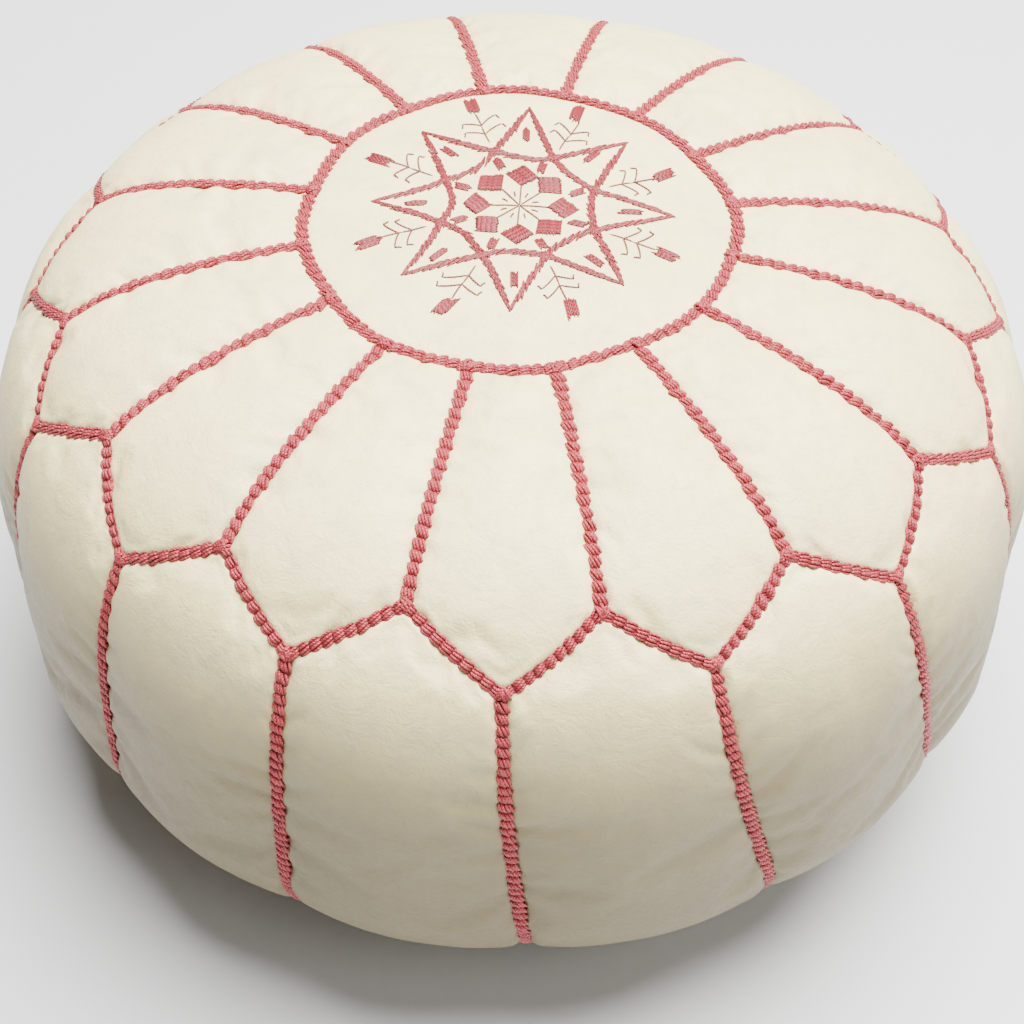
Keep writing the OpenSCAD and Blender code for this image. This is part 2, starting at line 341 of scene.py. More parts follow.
def leather_material():
    """Cream goat leather: fine pebbled grain, hair-fine creases, cloudy colour, and painted shade that
    darkens the sides from about 270 mm down towards the floor.
    """
    m = Shader("cream_leather", IOR=1.45, Specular_IOR_Level=0.42, Coat_Weight=0.05, Coat_Roughness=0.35)
    where = m.place()
    clouds = m.noise(where, 0.018, 3, 0.55)
    blotch = m.noise(where, 0.055, 5, 0.62, 0.6)
    pale, warm = (0.80, 0.69, 0.33, 1), (0.74, 0.62, 0.29, 1)
    # the second colour here is the dark tan of the painted shade on the low sides
    grey, low_shade_colour = (0.50, 0.45, 0.28, 1), (0.174, 0.137, 0.066, 1)
    colour = m.mix(m.ramp(clouds, [(0.35, 0.0), (0.68, 1.0)]), pale, warm)
    colour = m.mix(m.math("MULTIPLY", m.ramp(blotch, [(0.47, 0.0), (0.72, 1.0)]), 0.42), colour, grey)
    creases = m.noise(where, 0.045, 6, 0.65, 0.7)
    crease = m.ramp(m.math("ABSOLUTE", m.math("SUBTRACT", creases, 0.5)), [(0.0, 0.0), (0.03, 1.0)])
    crossing = m.noise(where, 0.13, 5, 0.6, 1.0)
    hair = m.ramp(m.math("ABSOLUTE", m.math("SUBTRACT", crossing, 0.5)), [(0.0, 0.0), (0.025, 1.0)])
    lines = m.math("SUBTRACT", 1.0, m.math("MULTIPLY", crease, hair))
    colour = m.mix(m.math("MULTIPLY", lines, 0.13), colour, grey)
    # Painted shade: below about 270 mm the leather is painted darker and browner towards the floor, standing
    # in for the shade on the low sides.
    painted_low_shade = m.ramp(m.height(), [(0.13, 0.95), (0.192, 0.86), (0.222, 0.64), (0.243, 0.34), (0.270, 0.0)])
    m.link(m.mix(painted_low_shade, colour, low_shade_colour), m.bsdf.inputs["Base Color"])
    rough = m.ramp(m.noise(where, 0.35, 4, 0.6), [(0.3, 0.40), (0.7, 0.56)])
    m.link(rough, m.bsdf.inputs["Roughness"])
    pebble = m.node("ShaderNodeTexVoronoi", {"Vector": where, "Scale": 0.95, "Smoothness": 0.6},
                    feature="SMOOTH_F1").outputs["Distance"]
    normal = m.bump(m.noise(where, 0.09, 5, 0.6, 0.8), 0.0018, 0.4)
    normal = m.bump(m.noise(where, 0.32, 5, 0.65, 1.2), 0.0006, 0.4, normal)
    normal = m.bump(crease, 0.00018, 0.45, normal)
    normal = m.bump(hair, 0.00010, 0.4, normal)
    normal = m.bump(pebble, 0.00012, 0.45, normal)
    m.link(normal, m.bsdf.inputs["Normal"])
    return m.mat


def thread_material(name, light, dark, ply, sheen=0.05, top_shade=0.0):
    """Shiny twisted thread: light and dark plies wind round each strand, ply millimetres to a turn.
    The last argument is how much darker the threads are painted towards the top, as painted shade."""
    m = Shader(name, Roughness=0.38, Specular_IOR_Level=0.36, Sheen_Weight=sheen, Sheen_Roughness=0.4)
    uv = m.node("ShaderNodeUVMap", uv_map="Fibre").outputs["UV"]
    xy = m.node("ShaderNodeSeparateXYZ", {0: uv})
    wind = m.math("ADD", m.math("MULTIPLY", xy.outputs[0], 2 * math.pi / ply),
                  m.math("MULTIPLY", xy.outputs[1], 4 * math.pi))
    twist = m.math("ADD", m.math("MULTIPLY", m.math("SINE", wind), 0.5), 0.5)
    shade = m.node("ShaderNodeAttribute", attribute_name="shade").outputs["Fac"]
    fibre = m.noise(m.place(), 2.6, 3, 0.6)
    fac = m.math("ADD", m.math("MULTIPLY", twist, 0.35),
                 m.math("ADD", m.math("MULTIPLY", shade, 0.45), m.math("MULTIPLY", fibre, 0.4)))
    colour = m.mix(m.ramp(fac, [(0.25, 0.0), (0.95, 1.0)]), dark, light)
    # Painted shade: from about 200 mm up the threads are painted darker towards the top.
    painted_top_shade = m.ramp(m.height(), [(0.20, 0.0), (0.285, top_shade)])
    m.link(m.mix(painted_top_shade, colour, dark), m.bsdf.inputs["Base Color"])
    relief = m.math("ADD", twist, m.math("MULTIPLY", fibre, 0.5))
    m.link(m.bump(relief, 0.00022, 0.8), m.bsdf.inputs["Normal"])
    return m.mat


def gap_shade_material():
    """A dark pink strip under a plaited seam: painted shade that shows in the gaps between the stitches."""
    m = Shader("seam_gap_shade", Roughness=0.8)
    where = m.place()
    m.link(m.mix(m.noise(where, 1.2, 3), (0.34, 0.030, 0.036, 1), (0.46, 0.048, 0.056, 1)),
           m.bsdf.inputs["Base Color"])
    m.link(m.bump(m.noise(where, 1.5, 3), 0.0003, 0.8), m.bsdf.inputs["Normal"])
    return m.mat


def weave_material(name, colour, pitch=0.6):
    """Plain woven cotton, pitch millimetres from thread to thread."""
    m = Shader(name, Roughness=0.85)
    where = m.place()
    xyz = m.node("ShaderNodeSeparateXYZ", {0: where})
    waves = [m.math("SINE", m.math("MULTIPLY", xyz.outputs[k], 2 * math.pi / pitch)) for k in (0, 1)]
    weave = m.math("MULTIPLY", waves[0], waves[1])
    dark = tuple(c * 0.72 for c in colour[:3]) + (1,)
    fac = m.math("ADD", m.math("MULTIPLY", weave, 0.3), m.noise(where, 0.8, 4))
    m.link(m.mix(fac, dark, colour), m.bsdf.inputs["Base Color"])
    m.link(m.bump(weave, 0.0002, 0.7), m.bsdf.inputs["Normal"])
    return m.mat


def brass_material():
    """Brushed zip brass, duller in random patches."""
    m = Shader("zip_brass", Metallic=1.0)
    where = m.place()
    dull, bright = (0.42, 0.29, 0.11, 1), (0.66, 0.49, 0.22, 1)
    m.link(m.mix(m.noise(where, 0.7, 4), dull, bright), m.bsdf.inputs["Base Color"])
    m.link(m.ramp(m.noise(where, 1.7, 4), [(0.3, 0.24), (0.7, 0.46)]), m.bsdf.inputs["Roughness"])
    m.link(m.bump(m.noise(where, 4.0, 2), 0.00008, 0.5), m.bsdf.inputs["Normal"])
    return m.mat


LEATHER = leather_material()
# the braid's last value paints its threads darker towards the top, as painted shade
BRAID = thread_material("braid_thread", (0.56, 0.068, 0.080, 1), (0.20, 0.014, 0.020, 1), 1.3, 0.06, 0.75)
SATIN = thread_material("satin_thread", (0.25, 0.018, 0.025, 1), (0.080, 0.005, 0.007, 1), 2.4)
LINE = thread_material("line_thread", (0.22, 0.035, 0.035, 1), (0.07, 0.010, 0.010, 1), 1.5)
# the strip under the seams is coloured as painted shade for the gaps
GAP_SHADE = gap_shade_material()
TAPE = weave_material("zip_tape", (0.72, 0.68, 0.56, 1))
COTTON = weave_material("cotton", (0.80, 0.77, 0.69, 1), 1.2)
BRASS = brass_material()

# ---- leather panels ----
PILLOW = {"petal": 0.0012, "side": 0.0020, "medallion": 0.0010}     # how far each kind bulges
GRID = {"petal": (60, 48), "side": (128, 48), "medallion": (120, 120)}
CREASE_FADE = 0.014     # creases die out this close to a seam
CLOTH_FRAMES = 24
CLOTH_REACH = 0.008     # the most that stuffing moves a point
CLOTH = {
    "quality": 5, "mass": 0.25, "tension_stiffness": 22, "compression_stiffness": 12, "shear_stiffness": 8,
    "bending_stiffness": 0.6, "tension_damping": 12, "compression_damping": 12, "shear_damping": 12,
    "air_damping": 4, "use_pressure": True, "uniform_pressure_force": 3.2, "shrink_min": -0.022,
    "vertex_group_mass": "held"}


def seam_relief(edge, along, seed):
    """Lift near a seam: the edge tucks under the braid, and each stitch pulls in a small dimple."""
    tuck = -0.0016 * np.exp(-((edge / 0.0030) ** 2))
    shoulder = 0.0011 * (1 - np.exp(-edge / 0.008))
    flat = np.zeros_like(along)
    pull = noise(np.stack([along, flat, flat], axis=1), 0.011, seed)
    pucker = 0.00045 * pull * np.exp(-edge / 0.012) * (1 - np.exp(-edge / 0.003))
    return tuck + shoulder + pucker


def creases(x, y, seed, lean):
    """Soft folds and finer creases of stuffed leather, in panel coordinates (across, along)."""
    c, s = math.cos(lean), math.sin(lean)
    u, v = x * c + y * s, -x * s + y * c
    flat = np.zeros_like(u)
    folds = noise(np.stack([u, v * 0.32, flat], axis=1), 0.026, seed)
    ridge = 1 - np.abs(noise(np.stack([u, v * 0.25, flat], axis=1), 0.016, seed + 2)) * 2.2
    fine = noise(np.stack([u, v * 0.5, flat], axis=1), 0.007, seed + 3)
    return 0.0004 * folds - 0.00030 * np.clip(ridge, 0, 1) ** 3 + 0.00008 * fine


def crowded(n, share=0.35):
    """n values from -1 to 1, closer together towards both ends."""
    t = np.linspace(-1, 1, n)
    return (1 - share) * t + share * np.sin(t * math.pi / 2)


class Panel:
    """A leather panel between two radial seams. top and bottom give its ends' arc length for an angle,
    lean is the slope of its creases, and moved is how far the stuffing pushes its points."""

    def __init__(self, name, node, centre, top, bottom, kind, seed, lean):
        self.name, self.node, self.centre, self.kind = name, node, centre, kind
        self.top, self.bottom, self.seed, self.lean = top, bottom, seed, lean
        self.shape = GRID[kind]
        self.moved = None

    def field(self, shape):
        """Angle, arc length, place across (-1 to 1) and along (0 to 1), and the two ends, on a grid."""
        rows, cols = shape
        u = crowded(cols)[None, :]
        v = (crowded(rows)[:, None] + 1) / 2
        theta = self.centre + u * STEP / 2
        s0, s1 = self.top(theta), self.bottom(theta)
        s = s0 + v * (s1 - s0)
        return np.broadcast_arrays(theta, s, u, v, s0, s1)

    def pillow(self, s, u, v):
        """The bulge between the seams, less near the base."""
        across, along = np.cos(u * math.pi / 2) ** 1.3, np.sin(v * math.pi) ** 0.6
        return PILLOW[self.kind] * across * along * (0.3 + 0.7 * smooth((S_BASE - s) / 0.12))

    def rough(self):
        """The panel before it is stuffed, on a coarse grid."""
        theta, s, u, v, _, _ = self.field((self.shape[0] // 2, self.shape[1] // 2))
        lift = VALLEY + self.pillow(s, u, v)
        place = np.stack([theta.ravel() * 0.2, s.ravel(), 0 * s.ravel()], axis=1)
        wobble = noise(place, 0.02, self.seed + 30).reshape(s.shape)
        inner = (1 - np.abs(u)) * np.sin(v * math.pi)
        return on_cover(theta, s, lift + 0.0003 * wobble * inner)

    def finished(self):
        """Outer points of the stuffed panel, its cut size and its flat area."""
        theta, s, u, v, s0, s1 = self.field(self.shape)
        r = np.interp(s, ARC, ARC_R)
        slant = np.cos(math.atan2(S_TIP - S_NOTCH, RING_R))     # the zigzag runs aslant
        side = (1 - np.abs(u)) * STEP / 2 * r
        ends = np.minimum(s - s0, s1 - s) * slant
        edge = np.minimum(side, ends).ravel()
        along = np.where(side < ends, s, theta * r).ravel()
        x, y = ((theta - self.centre) * r).ravel(), s.ravel()
        fade = 1 - np.exp(-edge / CREASE_FADE)
        lift = (VALLEY + self.pillow(s, u, v).ravel() + seam_relief(edge, along, self.seed)
                + creases(x, y, self.seed + 10, self.lean) * fade)
        outer = on_cover(theta, s, lift.reshape(theta.shape))
        if self.moved is not None:
            outer = outer + resampled(self.moved, self.shape)
        outer[..., 2] = np.maximum(outer[..., 2], FLOOR_GAP)
        width, length = float(STEP * r.max()), float((s1 - s0).max())
        area = float(np.mean(STEP * r * (s1 - s0)))
        return outer, (width, length), min(area, width * length)


def resampled(grid, shape):
    """A (rows, cols, 3) grid read at another number of rows and columns, smoothly."""
    for axis, count in enumerate(shape):
        n = grid.shape[axis]
        at = np.linspace(0, n - 1, count)
        i = np.clip(np.floor(at).astype(int), 0, n - 2)
        f = (at - i).reshape((-1, 1, 1) if axis == 0 else (1, -1, 1))
        p0, p1, p2, p3 = (np.take(grid, np.clip(i + k, 0, n - 1), axis=axis) for k in (-1, 0, 1, 2))
        grid = p1 + 0.5 * f * (p2 - p0 + f * (2 * p0 - 5 * p1 + 4 * p2 - p3 + f * (3 * (p1 - p2) + p3 - p0)))
    return grid


def stuff(panels):
    """Blows the sewn panels up in one cloth simulation, with their edges held by the seams."""
    grids = [p.rough() for p in panels]
    starts = np.cumsum([0] + [g.shape[0] * g.shape[1] for g in grids])
    quads = np.concatenate([grid_faces(*g.shape[:2])[:, ::-1] + at for g, at in zip(grids, starts)])
    verts = np.concatenate([g.reshape(-1, 3) for g in grids])
    ob = make_mesh("cover_cloth", verts, quads, LEATHER)
    held = ob.vertex_groups.new(name="held")
    for g, at in zip(grids, starts):
        inside = np.zeros(g.shape[:2], dtype=bool)
        inside[1:-1, 1:-1] = True
        held.add((at + np.nonzero(~inside.ravel())[0]).tolist(), 1.0, "REPLACE")
    cloth = ob.modifiers.new("cloth", "CLOTH")
    for key, value in CLOTH.items():
        setattr(cloth.settings, key, value)
    cloth.settings.effector_weights.gravity = 0
    cloth.collision_settings.use_collision = False
    scene = bpy.context.scene
    for frame_number in range(1, CLOTH_FRAMES + 1):
        scene.frame_set(frame_number)
    found = ob.evaluated_get(bpy.context.evaluated_depsgraph_get()).data
    after = np.empty(len(verts) * 3)
    found.vertices.foreach_get("co", after)
    move = after.reshape(-1, 3) - verts
    far = np.linalg.norm(move, axis=1, keepdims=True)
    move *= np.minimum(1, CLOTH_REACH / np.maximum(far, 1e-9))
    for p, g, at in zip(panels, grids, starts):
        p.moved = move[at:at + g.shape[0] * g.shape[1]].reshape(g.shape)
    bpy.data.objects.remove(ob)
    scene.frame_set(1)


def dress(ob, node, body="cover"):
    """The piece stands for a CAD node and rides on its body."""
    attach(ob, body)
    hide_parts(node)
    return ob


def add_panels(rng):
    panels = []
    for i in range(PANELS):
        panels.append(Panel(
            f"petal_{i + 1:02d}", f"upper_petal_{i + 1:02d}", i * STEP, lambda t: np.full_like(t, S_RING),
            zigzag_arc, "petal", 100 + i * 5, rng.uniform(-0.6, 0.6)))
        panels.append(Panel(
            f"side_{i + 1:02d}", f"side_panel_{i + 1:02d}", (i + 0.5) * STEP, zigzag_arc,
            lambda t: np.full_like(t, S_BASE), "side", 300 + i * 5, rng.uniform(-0.25, 0.25)))
    stuff(panels)
    for p in panels:
        outer, flat, area = p.finished()
        ob = dress(leather_shell(p.name, outer), p.node)


def medallion_point(x, y):
    """Points of the medallion's surface above plan points."""
    r, theta = np.hypot(x, y), np.arctan2(y, x)
    edge = np.clip(RING_R - r, 0, None).ravel()
    along = (theta * RING_R).ravel()
    fade = 1 - np.exp(-edge / CREASE_FADE)
    dome = PILLOW["medallion"] * np.cos(np.clip(r / RING_R, 0, 1) * math.pi / 2).ravel() ** 0.8
    lift = (VALLEY + dome + seam_relief(edge, along, 71)
            + 0.6 * creases(x.ravel(), y.ravel(), 81, 0.5) * fade)
    s = np.interp(r, ARC_R[:WAIST], ARC[:WAIST])
    return on_cover(theta, s, lift.reshape(r.shape))


def add_medallion():
    u, v = np.meshgrid(*(np.linspace(-1, 1, n) for n in GRID["medallion"]))
    x, y = u * np.sqrt(1 - v * v / 2) * RING_R, v * np.sqrt(1 - u * u / 2) * RING_R
    ob = leather_shell("medallion", medallion_point(x, y), flip=True)
    dress(ob, "top_medallion")


# ---- plaited seams ----
PITCH = 0.0054          # from stitch to stitch
THREAD_R = 0.00074
THREAD_GAP = 0.00146    # from thread to thread in one stitch
BUNDLE = 4              # threads side by side in one stitch
LAYERS = ((1.0, 0.0021, 1.03), (-1.2, 0.0006, 0.8))     # share of the slant, rise and length in pitches
BED_ACROSS = np.array([-0.0028, -0.0020, 0, 0.0020, 0.0028])      # the section of the strip below
BED_HEIGHT = np.array([-0.0012, 0, 0.0004, 0, -0.0012])
BED_DEPTH = 0.0016
KNOT_THREADS = 9
KNOT_REACH = 0.0036     # half the length of a knot's thread


def seam_frames(theta, s):
    """Points, run, side and normal along a seam given by (theta, s)."""
    p = on_cover(theta, s, VALLEY + 0.0002)
    high = on_cover(theta, s, VALLEY + 0.0012)
    normal = unit(high - p)
    run = unit(np.gradient(p, axis=0))
    return p, run, unit(np.cross(normal, run)), normal


def braid(name, theta, s, rng, slant, closed):
    """A plaited seam along a line of the cover. Each stitch is a flat bundle of threads that rises
    out of the seam, runs along it with a slant and dives under the next one. A lower layer
    crosses the gaps the other way. Painted shade: every thread is painted darker towards its
    ends, where it dives, and the lower layer darker all over, so the gaps read dark."""
    p, _, side, normal = seam_frames(theta, s)
    dist = np.concatenate([[0], np.cumsum(np.linalg.norm(np.diff(p, axis=0), axis=1))])
    count = max(2, round(dist[-1] / PITCH))
    pitch = dist[-1] / count
    u = np.linspace(0, 1, 10)
    arch = np.sin(u * math.pi)
    paths, ups, tint, sizes = [], [], [], []
    for layer, (share, rise, reach) in enumerate(LAYERS):
        for k in range(count):
            middle = (k + 0.5 + 0.5 * layer) * pitch + rng.normal(0, 0.00018)
            mood = rng.uniform(0, 1)
            skew = share * slant * (1 + rng.normal(0, 0.18))
            high = rise * (1 + rng.normal(0, 0.07))
            wide = 1 + rng.normal(0, 0.04)
            for j in range(BUNDLE):
                place = j - (BUNDLE - 1) / 2
                at = middle + pitch * reach * (1 + rng.normal(0, 0.03)) * (u - 0.5) + rng.normal(0, 0.00015)
                y = place * THREAD_GAP * wide * (0.86 + 0.14 * arch) + skew * (u - 0.5)
                y = y + 0.00014 * rng.normal() * arch
                crown = math.sqrt(1 - (place / (BUNDLE - 0.6)) ** 2 * 2.4)
                h = high * crown * arch ** 0.6 - 0.0007 + rng.normal(0, 0.0001)
                at = np.mod(at, dist[-1]) if closed else np.clip(at, 0.0002, dist[-1] - 0.0002)
                base = [np.stack([np.interp(at, dist, a[:, c]) for c in range(3)], axis=1)
                        for a in (p, side, normal)]
                paths.append(base[0] + base[1] * y[:, None] + base[2] * h[:, None])
                ups.append(base[2])
                # Painted shade: threads are painted darker towards their ends, where they dive, and the lower
                # layer darker all over.
                depth = 1.1 * (np.abs(u - 0.5) * 2) ** 3
                tint.append(0.35 + 0.3 * mood + rng.uniform(0, 0.45) - 0.7 * layer - depth)
                sizes.append(THREAD_R * (1 + rng.normal(0, 0.06)))
    return tubes(name, np.array(paths), np.array(ups), np.array(sizes), BRAID, shade=np.array(tint))


def seam_bed(name, theta, s):
    """The low strip that the stitches cross, coloured as painted shade for the gaps between them."""
    p, _, side, normal = seam_frames(theta, s)
    flat = p[:, None] + side[:, None] * BED_ACROSS[None, :, None]
    high = flat + normal[:, None] * BED_HEIGHT[None, :, None]
    low = flat - normal[:, None] * BED_DEPTH
    verts = np.concatenate([high.reshape(-1, 3), low.reshape(-1, 3)])
    return make_mesh(name, verts, slab_faces(len(p), len(BED_ACROSS))[:, ::-1], GAP_SHADE)


def knot(name, theta, s, rng):
    """Threads pulled over a junction of seams."""
    p, run, side, normal = seam_frames(np.array([theta, theta]), np.array([s - 0.002, s + 0.002]))
    u = np.linspace(0, 1, 8)
    paths, ups, tint = [], [], []
    for j in range(KNOT_THREADS):
        turn = rng.uniform(-1.2, 1.2)
        along = run[0] * math.cos(turn) + side[0] * math.sin(turn)
        reach = KNOT_REACH * rng.uniform(0.85, 1.1)
        sideways = np.cross(normal[0], along) * rng.uniform(-0.0022, 0.0022)
        line = (p[0] + p[1]) / 2 + sideways + along[None] * ((u - 0.5) * 2 * reach)[:, None]
        high = 0.0027 - 0.00009 * j
        paths.append(line + normal[0] * (high * np.sin(u * math.pi) ** 0.6 - 0.0004)[:, None])
        ups.append(np.repeat(normal[:1], len(u), axis=0))
        tint.append(rng.uniform(0.1, 0.9))
    return tubes(name, np.array(paths), np.array(ups), THREAD_R, BRAID, shade=np.array(tint))


def add_seam(name, node, theta, s, rng, slant=0.0026, closed=False):
    for ob in (braid(name, theta, s, rng, slant, closed), seam_bed(f"{name}_bed", theta, s)):
        dress(ob, node)


def add_seams(rng):
    turn = np.linspace(0, 2 * math.pi, 400)
    add_seam("ring_braid", "seam_medallion", turn, np.full_like(turn, S_RING), rng, closed=True)
    add_seam("base_braid", "seam_base", turn, np.full_like(turn, S_BASE), rng, closed=True)
    line = np.linspace(0, 1, 60)
    for i in range(PANELS):
        notch, tip = (i + 0.5) * STEP, i * STEP
        s = S_RING + 0.003 + line * (S_NOTCH - S_RING - 0.005)
        add_seam(f"spoke_{i + 1:02d}", "seam_spokes", np.full_like(line, notch), s, rng)
        s = S_TIP + 0.003 + line * (S_BASE - S_TIP - 0.006)
        add_seam(f"side_seam_{i + 1:02d}", "seam_sides", np.full_like(line, tip), s, rng)
        for half, slant in ((1, 0.0018), (-1, 0.0008)):
            theta = tip + half * STEP / 2 * line
            add_seam(f"zigzag_{i + 1:02d}_{'a' if half > 0 else 'b'}", "seam_zigzag", theta,
                     zigzag_arc(theta + half * 1e-6), rng, slant)
        dress(knot(f"knot_ring_{i + 1:02d}", notch, S_RING, rng), "seam_medallion")
        dress(knot(f"knot_notch_{i + 1:02d}", notch, S_NOTCH, rng), "seam_zigzag")
        dress(knot(f"knot_tip_{i + 1:02d}", tip, S_TIP, rng), "seam_zigzag")


# ---- embroidery ----
STAR_R = 0.072
STAR_CORNER = 0.0285
STAR_PULL = 3.6         # how closely the sides follow the corner
STAR_TURN = math.radians(-2.2)
STAR_AT = np.array([0.0005, 0.0068])     # the embroidery isn't quite in the middle
FAR_STRETCH = 1.115     # and its far half is longer
STROKES = 25            # on each side of the star
STROKE_THREADS = 9
STROKE_GAP = 0.00026    # from thread to thread
STROKE_HALF = 0.0039    # half a stroke's length


def polar(r, a):
    """Plan points at radius r and angle a."""
    return np.stack([r * np.cos(a), r * np.sin(a)], axis=-1)


def stitches(name, starts, ends, radius, material, rng, rise=0.00045, bend=None):
    """Straight threads laid on the medallion from point to point, painted darker where they go in, as painted
    shade.
    """
    starts, ends = np.asarray(starts), np.asarray(ends)
    u = np.linspace(0, 1, 9)
    plan = starts[:, None] + (ends - starts)[:, None] * u[None, :, None]
    if bend is not None:
        plan = plan + np.asarray(bend)[:, None] * (4 * u * (1 - u))[None, :, None]
    plan[..., 1] *= np.where(plan[..., 1] > 0, FAR_STRETCH, 1.0)
    plan = plan + STAR_AT
    base = medallion_point(plan[..., 0], plan[..., 1])
    lift = rise * np.sin(u * math.pi) ** 0.3 - 0.00012
    base[..., 2] += lift[None] + rng.uniform(0, 0.00016, (len(starts), 1))
    up = np.zeros_like(base)
    up[..., 2] = 1
    # Painted shade: each thread is painted darker at its ends, where it goes into the leather.
    tint = rng.uniform(0.25, 0.95, (len(starts), 1)) - 0.75 * (np.abs(u - 0.5) * 2)[None, :] ** 8
    return tubes(name, base, up, np.full(len(starts), radius), material, flat=0.7, shade=tint)


def star_side(a):
    """One side of a star from tip to tip, almost straight to a rounded corner in the middle,
    as points at equal distances."""
    t = np.linspace(0, 1, 400)[:, None]
    ends = (1 - t) ** 2 * polar(STAR_R, a) + t ** 2 * polar(STAR_R, a + math.pi / 2)
    middle = 2 * t * (1 - t) * STAR_PULL
    points = (ends + middle * polar(STAR_CORNER, a + math.pi / 4)) / ((1 - t) ** 2 + t ** 2 + middle)
    dist = np.concatenate([[0], np.cumsum(np.linalg.norm(np.diff(points, axis=0), axis=1))])
    even = np.linspace(0, dist[-1], 400)
    return np.stack([np.interp(even, dist, points[:, k]) for k in (0, 1)], axis=-1)


def star_stitches(rng):
    """Strokes of a few threads each, laid slantwise one after the other along the sides of two
    crossed stars, so both edges of the line are jagged."""
    starts, ends = [], []
    for corner in range(8):
        points = star_side(STAR_TURN + corner * math.pi / 4)
        runs = unit(np.gradient(points, axis=0))
        for k in range(STROKES):
            t = (k + 0.5) / STROKES + rng.normal(0, 0.004)
            lean = 0.25 + rng.normal(0, 0.05)
            long = STROKE_HALF * (1 + rng.normal(0, 0.10))
            for j in range(STROKE_THREADS):
                place = j - (STROKE_THREADS - 1) / 2
                tj = t + place * 0.0042 + rng.normal(0, 0.0010)
                near = min(tj, 1 - tj)
                if near < 0.006:
                    continue
                at, run = points[int(tj * 399)], runs[int(tj * 399)]
                fat = 0.30 + 0.70 * smooth(near / 0.16)
                c, s = math.cos(lean * fat), math.sin(lean * fat)
                way = np.array([run[0] * c - run[1] * s, run[0] * s + run[1] * c])
                side = np.array([-run[1], run[0]])
                half = min(long * (1 + rng.normal(0, 0.06)), 0.0005 + near * 0.12)
                at = at + side * fat * place * STROKE_GAP
                starts.append(at - way * half)
                ends.append(at + way * half)
    return starts, ends


def filled(corner, side_a, side_b, count, rng, ragged=0.0003):
    """Parallel threads that fill the parallelogram at corner, running along side_a."""
    t = (np.arange(count) + 0.5) / count
    start = corner + t[:, None] * side_b
    way = side_a / np.linalg.norm(side_a)
    return (list(start + way * rng.normal(0, ragged, (count, 1))),
            list(start + side_a + way * rng.normal(0, ragged, (count, 1))))


def motif_stitches(rng):
    """Satin fillings: rosette, bars, dashes and buds."""
    starts, ends = [], []

    def add(pair):
        starts.extend(pair[0])
        ends.extend(pair[1])

    def add_filling(angle, corner, side_a, side_b, count, ragged):
        """The corner and the sides are given outwards and across at an angle."""
        out, across = polar(1, angle), polar(1, angle + math.pi / 2)
        corner, side_a, side_b = (p[0] * out + p[1] * across for p in (corner, side_a, side_b))
        add(filled(corner, side_a, side_b, count, rng, ragged))

    for k in range(8):
        a = STAR_TURN + k * math.pi / 4 + rng.normal(0, 0.02)
        inner, outer = polar(0.0132, a), polar(0.0285, a)
        mid = (inner + outer) / 2
        half = 0.0086 * (1 + rng.normal(0, 0.04)) * polar(1, a + math.pi / 2)
        one, two = mid + half - inner, mid - half - inner
        if k % 2:
            one, two = two, one
        add(filled(inner, one, two, 16, rng))
        b = a + math.pi / 8
        add_filling(a, (0.0465, -0.0017), (0.0098, 0.0006), (0, 0.0036), 5, 0.0008)
        add_filling(b, (0.0262, -0.0021), (0.0080, 0.0010), (0, 0.0042), 6, 0.0006)
        lean = rng.normal(0, 0.0012)
        add_filling(b, (0.0705, -0.0032), (0.0112, lean), (0, 0.0064), 8, 0.0009)
    return starts, ends


def line_stitches(rng):
    """Thin lines: the rosette's rays, ticks, and the sprigs' stems and hooked barbs."""
    starts, ends, bends = [], [], []

    def add(p, q, bend=0.0):
        way = np.asarray(q) - np.asarray(p)
        starts.append(p)
        ends.append(q)
        bends.append(np.array([-way[1], way[0]]) * bend)

    for k in range(8):
        a = STAR_TURN + k * math.pi / 4
        add(polar(0.0003, a), polar(0.0150, a + rng.normal(0, 0.02)))
        add(polar(0.0062, a + math.pi / 8), polar(0.0098, a + math.pi / 8 + rng.normal(0, 0.03)))
        b = a + math.pi / 8 + rng.normal(0, 0.015)
        out, across = polar(1, b), polar(1, b + math.pi / 2)
        add(0.0465 * out, 0.0590 * out, 0.02)
        add(0.0585 * out, 0.0705 * out, -0.02)
        for root in (0.0535, 0.0602):
            for side in (-1, 1):
                reach = 0.0092 * (1 + rng.normal(0, 0.08))
                elbow = (root + 0.0054 + rng.normal(0, 0.0005)) * out + side * reach * across
                add(root * out, elbow, side * -0.05)
                add(elbow, elbow + 0.0010 * side * across - 0.0031 * out, side * 0.10)
    return starts, ends, bends


def add_embroidery(rng):
    starts, ends = star_stitches(rng)
    star = stitches("star_stitches", starts, ends, 0.00051, SATIN, rng)
    starts, ends = motif_stitches(rng)
    fillings = stitches("satin_fillings", starts, ends, 0.00050, SATIN, rng, 0.0005)
    starts, ends, bends = line_stitches(rng)
    lines = stitches("line_stitches", starts, ends, 0.00044, LINE, rng, 0.0004, bends)
    for ob in (star, fillings, lines):
        dress(ob, "embroidery")


# ---- base and zip ----
RIM_IN, RIM_OUT, RECESS_OUT = 0.008, 0.013, 0.026     # opening, rim and foot of the zip's recess
RECESS_HALF = 0.118     # half the opening's straight length
RIM_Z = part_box("zip_tape_left")[0][2] - LEATHER_T


def recess_height(x, y):
    """How far the base rises above the floor for the zip's recess."""
    s = np.hypot(np.clip(np.abs(x) - RECESS_HALF, 0, None), y)
    return RIM_Z * (1 - smooth((s - RIM_OUT) / (RECESS_OUT - RIM_OUT)))


